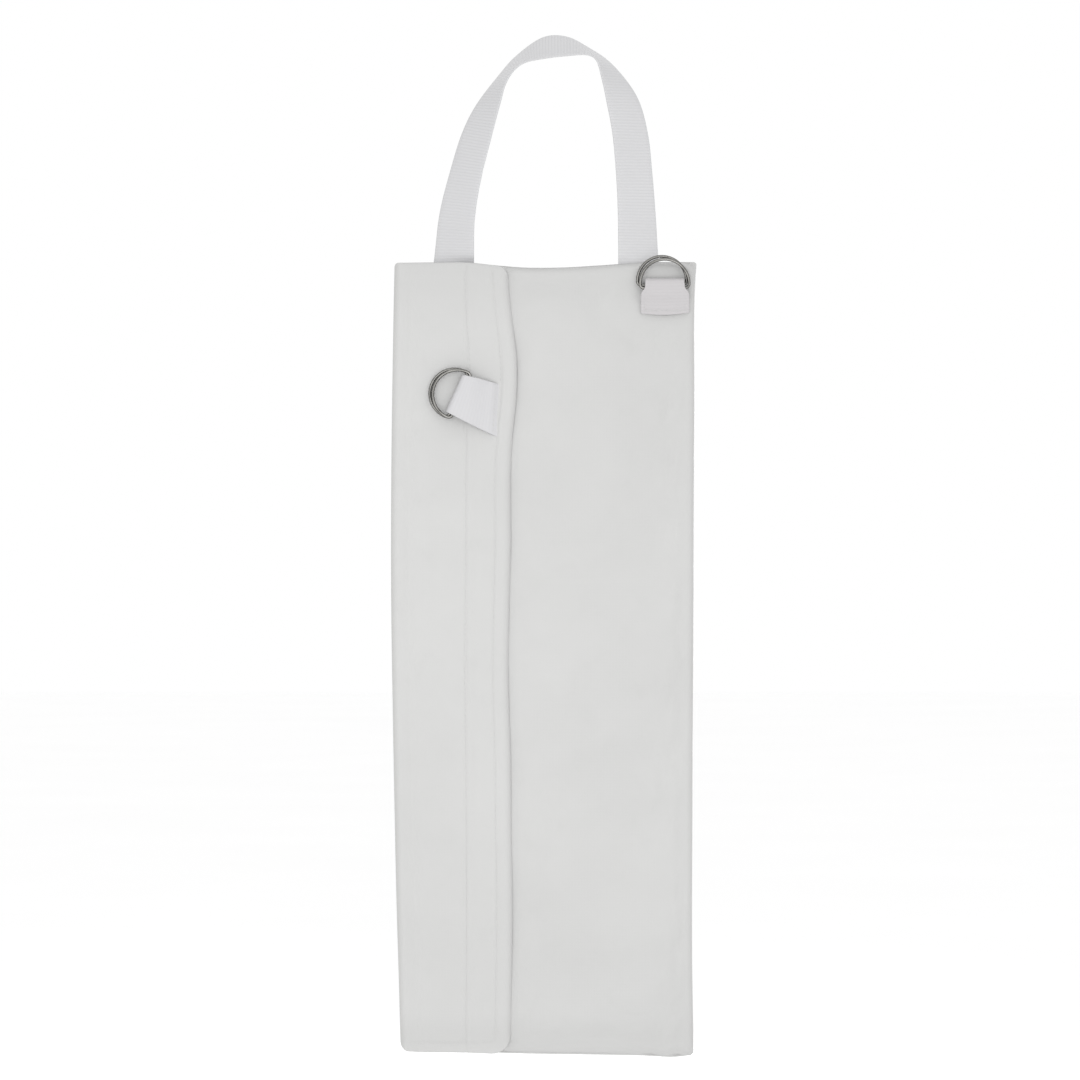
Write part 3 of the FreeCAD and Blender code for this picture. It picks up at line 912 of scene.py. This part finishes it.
def tab(name, corners, face, channel, high, web, length, neck=False, bowed=0.0, pressed=False):
    """A folded strap over a flared outline: corners are fold low, fold high, root high, root low in (x, z).

    channel is how far the ring bars' channel runs from the fold, high is the strap's height there, and bowed
    is how far the middle of its root hangs. A pressed strap grows thin at its root and sinks into the cloth.
    """
    fold_a, fold_b, root_b, root_a = [np.array(c) for c in corners]
    path = tab_path(length, channel, high, web)
    a, b, bow, thickness = [], [], [], []
    down = ((root_a + root_b) - (fold_a + fold_b)) / 2
    down /= np.linalg.norm(down)
    for s, h in path:
        f = s / length
        push = bowed * ease((f - 0.35) / 0.65)
        sunk = float(ease((f - 0.78) / 0.22)) if pressed else 0.0
        h += (-0.35 * MM - h) * sunk
        thickness.append(web + (0.4 * MM - web) * sunk)
        bow.append((down[0] * push, 0, down[1] * push))
        wide = float(smooth(NECK, f)) if neck else f
        low = fold_a + (root_a - fold_a) * f
        up = fold_b + (root_b - fold_b) * f
        middle = (low + up) / 2
        half = (1 - wide) * np.linalg.norm(fold_b - fold_a) / 2 + wide * np.linalg.norm(root_b - root_a) / 2
        way = (up - low) / np.linalg.norm(up - low)
        low, up = middle - way * half, middle + way * half
        a.append((low[0], face - h, low[1]))
        b.append((up[0], face - h, up[1]))
    return band(name, a, b, thickness, bow)


TAB_WEB = 1.2 * MM


def spot(x, height):
    """A place in mm right of the middle and above the top edge, as (x, z)."""
    return (x * MM, TOP + height * MM)


corner_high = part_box("corner_tab")[1].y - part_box("corner_tab")[0].y
corner = tab(
    "corner_strap",
    [spot(62.6, -10.5), spot(86.6, -10.5), spot(90.0, -31.4), spot(59.9, -31.9)],
    face=FRONT, channel=7.3 * MM, high=corner_high, web=TAB_WEB, length=21.1 * MM, neck=True, bowed=1.4 * MM,
)
dress(corner, corner_web, "pouch")
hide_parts("corner_tab")

pull_face = FLAP_FACE - 0.3 * MM
pull = tab(
    "pull_strap_web",
    [spot(-60.4, -92.6), spot(-49.9, -70.1), spot(-26.8, -75.9), spot(-28.0, -108.6)],
    face=pull_face, channel=6.2 * MM, high=corner_high, web=TAB_WEB, length=28.0 * MM, pressed=True,
)
dress(pull, pull_web)
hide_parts("pull_tab", "pull_tab_end")
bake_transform(pull)

for ring in ("corner_ring_back", "corner_ring_front", "pull_ring_back", "pull_ring_front"):
    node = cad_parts[ring]
    node.data.materials.clear()
    node.data.materials.append(nickel)


# ---------------------------------------------------------------- stitches
def toward_front(count):
    return np.tile([0.0, -1.0, 0.0], (count, 1))


def row_on_leaf(points):
    """Places on the flap's outer face for a line of (x, z) places, moved with the flap's uneven edge."""
    xz = np.asarray(points, float)
    x = xz[:, 0] + edge_shift(xz[:, 1]) * np.clip((xz[:, 0] - LEFT) / (FLAP_EDGE - LEFT), 0, 1)
    y = leaf_face(x, xz[:, 1])
    return np.stack([x, y - 0.02 * MM, xz[:, 1]], -1)


def straight(x0, z0, x1, z1, step=2 * MM):
    count = max(2, int(math.hypot(x1 - x0, z1 - z0) / step))
    t = np.linspace(0, 1, count)
    return np.stack([x0 + (x1 - x0) * t, z0 + (z1 - z0) * t], -1)


def leaf_rows():
    """The flap's rows: the free edge's above the pull strap, the one below it and round, and the tape's."""
    top = TOP - 6 * MM
    edge_up = straight(ROW_EDGE, top, ROW_EDGE, TOP - 74.5 * MM)
    edge_down = straight(ROW_EDGE, TOP - 107.5 * MM, ROW_EDGE, ROW_LOW + ROW_TURN)
    angles = np.linspace(0, math.pi / 2, 12)
    bend = np.stack(
        [ROW_EDGE - ROW_TURN + ROW_TURN * np.cos(angles), ROW_LOW + ROW_TURN - ROW_TURN * np.sin(angles)], -1
    )
    level = straight(ROW_EDGE - ROW_TURN, ROW_LOW, LEFT + 6 * MM, ROW_LOW)
    tape = straight(ROW_TAPE, top, ROW_TAPE, ROW_LOW + 1 * MM)
    out = []
    for line in (edge_up, np.concatenate([edge_down, bend[1:], level[1:]]), tape):
        p = row_on_leaf(line)
        out.append(stitches("row", p, toward_front(len(p)), 2.7 * MM, 3.3 * MM, 0.42 * MM, 0.16 * MM))
    return out


rows = leaf_rows()
tape_row = rows[2]
tape_row.name = "tape_stitches"
edge_row = joined("flap_edge_stitches", rows[:2])
for row, node in ((edge_row, "flap_edge_stitching"), (tape_row, "tape_stitching")):
    dress(row, thread, "flap")
    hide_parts(node)


def strap_row(points, face, height, body, name, node):
    """Stitches on a strap, that high above the face it is sewn to."""
    p = np.array([(x, face - height, z) for x, z in points])
    row = stitches(name, p, toward_front(len(p)), 2.5 * MM, 3.0 * MM, 0.45 * MM, 0.18 * MM)
    dress(row, thread, body)
    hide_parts(node)
    return row


foot_low, foot_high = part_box("corner_tab_stitching")
outline = np.concatenate([
    straight(foot_low.x, foot_low.z, foot_high.x, foot_low.z),
    straight(foot_high.x, foot_low.z, foot_high.x, foot_high.z),
    straight(foot_high.x, foot_high.z, foot_low.x, foot_high.z),
    straight(foot_low.x, foot_high.z, foot_low.x, foot_low.z),
])
strap_row(outline, FRONT, 2.42 * MM, "pouch", "corner_strap_stitches", "corner_tab_stitching")
pull_row = straight(*spot(-29.4, -76.6), *spot(-31.1, -105.8))
strap_row(pull_row, pull_face, 0.97 * MM, "flap", "pull_strap_stitches", "pull_tab_stitching")


def seam_rows():
    """The stitches of the top seam, inside its roll, and of the bottom seam."""
    out = []
    for edge, inward in ((top_at, -1 * MM), (bottom_at, 1 * MM)):
        x = np.linspace(MOUTH + 3 * MM, RIGHT - 4 * MM, 90)
        p = np.stack([x, -seam_forward(x) - 0.36 * MM, edge(x) + inward], -1)
        out.append(stitches("seam", p, toward_front(len(p)), 2.4 * MM, 3.0 * MM, 0.4 * MM, 0.15 * MM))
    return joined("seam_stitches", out)


seams = seam_rows()
dress(seams, thread, "pouch")
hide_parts("seam_stitching")


LEG_MIDDLES = (-55.5 * MM, 58.7 * MM)


def handle_rows():
    """The rows that hold the handle's two legs, on the front sheet under the top edge."""
    out = []
    for middle in LEG_MIDDLES:
        x = np.linspace(middle - 10 * MM, middle + 10 * MM, 12)
        z = top_at(x) - 2.8 * MM
        p = np.stack([x, pouch_depth(FRONT, x, z)[0] - 0.05 * MM, z], -1)
        out.append(stitches("leg", p, toward_front(len(p)), 2.2 * MM, 2.6 * MM, 0.45 * MM, 0.18 * MM))
    return joined("handle_leg_stitches", out)


leg_rows = handle_rows()
dress(leg_rows, thread, "pouch")
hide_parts("handle_stitching")


# ---------------------------------------------------------------- tapes under the flap
def pile_strip(name, node, material, body):
    """Hook or loop tape: a strip with a softly uneven face and rounded edges."""
    low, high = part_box(node)
    width, tall, deep = high.x - low.x, high.z - low.z, high.y - low.y
    xs = np.linspace(0, 1, 9)
    zs = np.linspace(0, 1, 60)
    u, v = np.meshgrid(xs, zs, indexing="ij")
    x = low.x + width * u
    z = low.z + tall * v
    from_edge = np.minimum(np.minimum(u, 1 - u) * width, np.minimum(v, 1 - v) * tall)
    round_off = np.clip(from_edge / (0.5 * MM), 0, 1)
    wall = 0.06 * MM * ripple(x, z, 5, 0.06, 0.012)
    front = low.y + deep * 0.35 * (1 - round_off) + wall
    back = np.full_like(front, high.y)
    points = np.concatenate([np.stack([x, front, z], -1), np.stack([x, back, z], -1)[::-1]])
    obj = grid(name, points, round_u=True)
    dress(obj, material, body)
    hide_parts(node)
    return obj


pile_strip("loop_strip", "loop_tape", loop_pile, "pouch")
pile_strip("hook_strip", "hook_tape", hook_pile, "flap")


# ---------------------------------------------------------------- folded blanket
def folded_blanket():
    """A 1.2 m x 1.8 m cloth folded in four along its length and then in seven across."""
    low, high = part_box("fire_blanket")
    deep = high.y - low.y
    legs, plies = 7, 4
    pitch = (deep - 0.6 * MM) / (legs * plies - 1)
    leg_gap = pitch * plies
    # across: seven legs joined by round turns
    path = []
    for leg in range(legs):
        y = -deep / 2 + 0.3 * MM + pitch * 1.5 + leg * leg_gap
        forward = leg % 2 == 0
        inset = leg_gap / 2 + pitch * 1.6
        xs = np.linspace(low.x + inset, high.x - inset, 6)
        if not forward:
            xs = xs[::-1]
        path += [(x, y) for x in xs]
        if leg < legs - 1:
            sign = 1 if forward else -1
            for k in range(1, 8):
                angle = math.pi * k / 8
                out, over = math.sin(angle), 1 - math.cos(angle)
                path.append((xs[-1] + sign * leg_gap / 2 * out, y + leg_gap / 2 * over))
    path = np.array(path)
    # the ply offset runs the same way through each turn
    tangent = np.gradient(path, axis=0)
    tangent /= np.linalg.norm(tangent, axis=1)[:, None]
    side_way = np.stack([-tangent[:, 1], tangent[:, 0]], -1)
    # along: four plies joined by round turns at the top and bottom
    zs, offs = [], []
    for ply in range(plies):
        up = ply % 2 == 0
        run = np.linspace(low.z + 12 * MM, high.z - 1.2 * MM, 7)
        if not up:
            run = run[::-1]
        off = (ply - 1.5) * pitch
        zs += list(run)
        offs += [off] * len(run)
        if ply < plies - 1:
            sign = 1 if up else -1
            for k in range(1, 5):
                angle = math.pi * k / 5
                zs.append(run[-1] + sign * pitch / 2 * math.sin(angle))
                offs.append(off + pitch / 2 * (1 - math.cos(angle)))
    zs, offs = np.array(zs), np.array(offs)
    x = path[:, None, 0] + side_way[:, None, 0] * offs[None, :]
    y = path[:, None, 1] + side_way[:, None, 1] * offs[None, :]
    z = np.broadcast_to(zs[None, :], x.shape)
    y, _ = pouch_depth(y, x, z)
    points = np.stack([x, y, z], -1)
    obj = grid("blanket_cloth", points)
    dress(obj, glass, "pouch")
    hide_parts("fire_blanket")
    return obj


folded_blanket()


def grip(name, node):
    """A grip tape over the blanket's edge at the mouth."""
    low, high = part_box(node)
    steps = 14
    t = np.linspace(0, 1, steps)
    x = high.x - 0.5 * MM - 0.5 * MM * np.sin(math.pi * t)
    y = low.y + (high.y - low.y) * t
    a = np.stack([x, y, np.full(steps, low.z)], -1)
    b = np.stack([x, y, np.full(steps, high.z)], -1)
    obj = band(name, a, b, 0.9 * MM)
    dress(obj, handle_web, "pouch")
    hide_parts(node)
    return obj


grip("blanket_grip_upper", "blanket_grip_tape_upper")
grip("blanket_grip_lower", "blanket_grip_tape_lower")


# ---------------------------------------------------------------- studio
def plain(name, colour, rough):
    """A matt surface with a very faint unevenness."""
    n = Nodes(name, colour, rough)
    speck = n.noise(n.coords(), 3.0, 2.0)
    return n.finish(n.mix(n.remap(speck, 0.3, 0.7, 0, 1), colour, scaled(colour, 1.01)))


FLOOR_HALF = 9.0
floor_z = BOTTOM - 0.16
floor_corners = [
    (across * FLOOR_HALF, away * FLOOR_HALF, floor_z) for across, away in ((-1, -1), (1, -1), (1, 1), (-1, 1))
]
floor = new_mesh("floor", floor_corners, [(0, 1, 2, 3)])
floor.data.materials.append(plain("pale_floor", (0.985, 0.985, 0.985), 0.9))

world = bpy.data.worlds.new("studio")
world.use_nodes = True
world.node_tree.nodes["Background"].inputs["Color"].default_value = (1, 1, 1, 1)
world.node_tree.nodes["Background"].inputs["Strength"].default_value = 1.0
bpy.context.scene.world = world


def lamp(name, place, target, size, power):
    """A square area light that the camera doesn't see."""
    data = bpy.data.lights.new(name, "AREA")
    data.shape = "SQUARE"
    data.size = size
    data.energy = power
    obj = bpy.data.objects.new(name, data)
    obj.location = place
    obj.rotation_euler = (Vector(target) - Vector(place)).to_track_quat("-Z", "Y").to_euler()
    obj.visible_camera = False
    bpy.context.scene.collection.objects.link(obj)
    return obj


middle_z = (TOP + BOTTOM) / 2
lamp("key", (-0.11, -0.6, middle_z + 0.06), (0, 0, middle_z), 0.55, 1.6)
lamp("above", (0, -0.25, TOP + 0.9), (0, 0, middle_z), 1.0, 1.6)
lamp("fill", (1.5, -1.6, middle_z + 0.5), (0, 0, middle_z), 1.2, 4)
lamp("behind", (0.4, 1.1, middle_z + 0.15), (0, 0, middle_z), 0.6, 5)

camera_data = bpy.data.cameras.new("camera")
camera_data.lens = 120
camera_data.sensor_width = 36
camera = bpy.data.objects.new("camera", camera_data)
bpy.context.scene.collection.objects.link(camera)
VIEW_WIDTH = 0.6696  # metres across the picture, at the object
distance = VIEW_WIDTH * camera_data.lens / camera_data.sensor_width
centre = Vector((-0.0022, 0, TOP - 0.1717))
camera.location = centre + Vector((0, -distance, 0))
camera.rotation_euler = (math.pi / 2, 0, 0)
bpy.context.scene.camera = camera
bpy.context.scene.view_settings.view_transform = "Standard"
bpy.context.scene.view_settings.look = "None"
